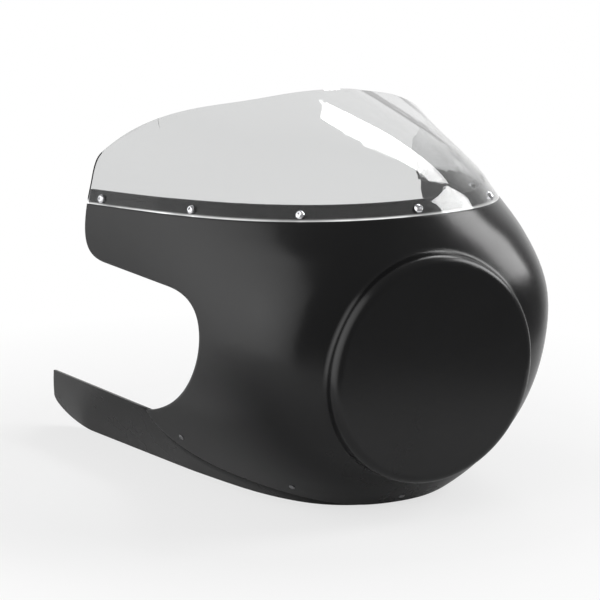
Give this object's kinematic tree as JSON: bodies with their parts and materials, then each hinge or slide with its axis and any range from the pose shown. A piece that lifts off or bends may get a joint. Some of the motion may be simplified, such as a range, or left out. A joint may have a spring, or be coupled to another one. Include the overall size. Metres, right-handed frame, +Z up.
{
  "type": "headlight cowl",
  "caption": "Motorbike headlight cowl: glossy half fairing with a raised round lamp face, clear domed screen on a screwed flange, and a chin panel with rearward wings.",
  "frame": {"origin": "centre of the lamp boss's flat front face", "axes": "-Y out of the front of the cowl, +Z up, X across it"},
  "size_m": [0.4268, 0.4999, 0.4079],
  "materials": {
    "black_shell": "deep black, glossy moulding",
    "clear_screen": "clear polished acrylic",
    "black_chin": "black, glossy moulding",
    "bright_screws": "bright plated steel",
    "steel_washers": "plain zinc-plated steel",
    "steel_nuts": "plain zinc-plated steel",
    "grey_rivets": "dull grey aluminium"
  },
  "bodies": {
    "root": {"shell": "black_shell", "windscreen": "clear_screen", "chin_panel": "black_chin", "windscreen_screws": "bright_screws", "windscreen_washers": "steel_washers", "windscreen_nuts": "steel_nuts", "chin_rivets": "grey_rivets"}
  },
  "joints": []
}
